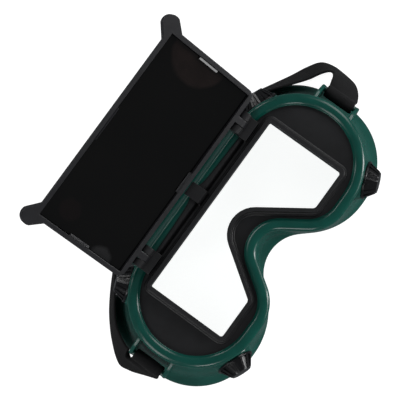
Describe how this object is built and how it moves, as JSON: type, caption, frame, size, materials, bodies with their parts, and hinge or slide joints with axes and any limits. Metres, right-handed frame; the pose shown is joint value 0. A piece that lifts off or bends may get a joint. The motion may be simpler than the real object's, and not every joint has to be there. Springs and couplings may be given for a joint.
{
  "type": "welding goggles",
  "caption": "Cup goggles with a soft moulded body, a windowed front plate with a nose arch, and a hinged visor that flips a dark filter plate over the window.",
  "frame": {"origin": "on the surface the goggles lie on, under the middle of their footprint", "axes": "+X to the viewer's right across both eyes, +Y towards the forehead side, +Z out of the front plate, away from the face"},
  "size_m": [0.1969, 0.1344, 0.0833],
  "materials": {
    "pvc_green": "soft PVC, glossy, moulded",
    "plate_black": "black, fine moulded grain",
    "visor_black": "black, satin",
    "vent_black": "black, glossy, ribbed",
    "lens_clear": "clear, polished",
    "cover_clear": "clear, polished",
    "filter_dark": "near-black green filter glass, polished",
    "gasket_rubber": "matte sheet rubber",
    "pin_steel": "drawn wire",
    "strap_elastic": "knitted elastic webbing",
    "keeper_plastic": "black, satin"
  },
  "bodies": {
    "goggles": {"face_frame": "pvc_green", "front_plate": "plate_black", "clear_lens": "lens_clear", "vent_seat_top_left": "vent_black", "vent_seat_top_right": "vent_black", "vent_seat_bottom_left": "vent_black", "vent_seat_bottom_right": "vent_black", "vent_cap_top_left": "vent_black", "vent_cap_top_right": "vent_black", "vent_cap_bottom_left": "vent_black", "vent_cap_bottom_right": "vent_black", "hinge_pin_left": "pin_steel", "hinge_pin_right": "pin_steel", "head_strap": "strap_elastic"},
    "visor": {"visor_frame": "visor_black", "glass_gasket": "gasket_rubber", "cover_glass": "cover_clear", "filter_glass": "filter_dark"},
    "keeper": {"strap_keeper": "keeper_plastic"}
  },
  "joints": [
    {"name": "visor_hinge", "type": "hinge", "parent": "goggles", "child": "visor", "pos_m": [-0.0028, 0.0089, 0.0496], "axis": [1, 0, 0], "range_deg": [0, 152]},
    {"name": "keeper_slide", "type": "slide", "parent": "goggles", "child": "keeper", "axis": [1, 0, 0], "range_m": [-0.008, 0.008]}
  ]
}
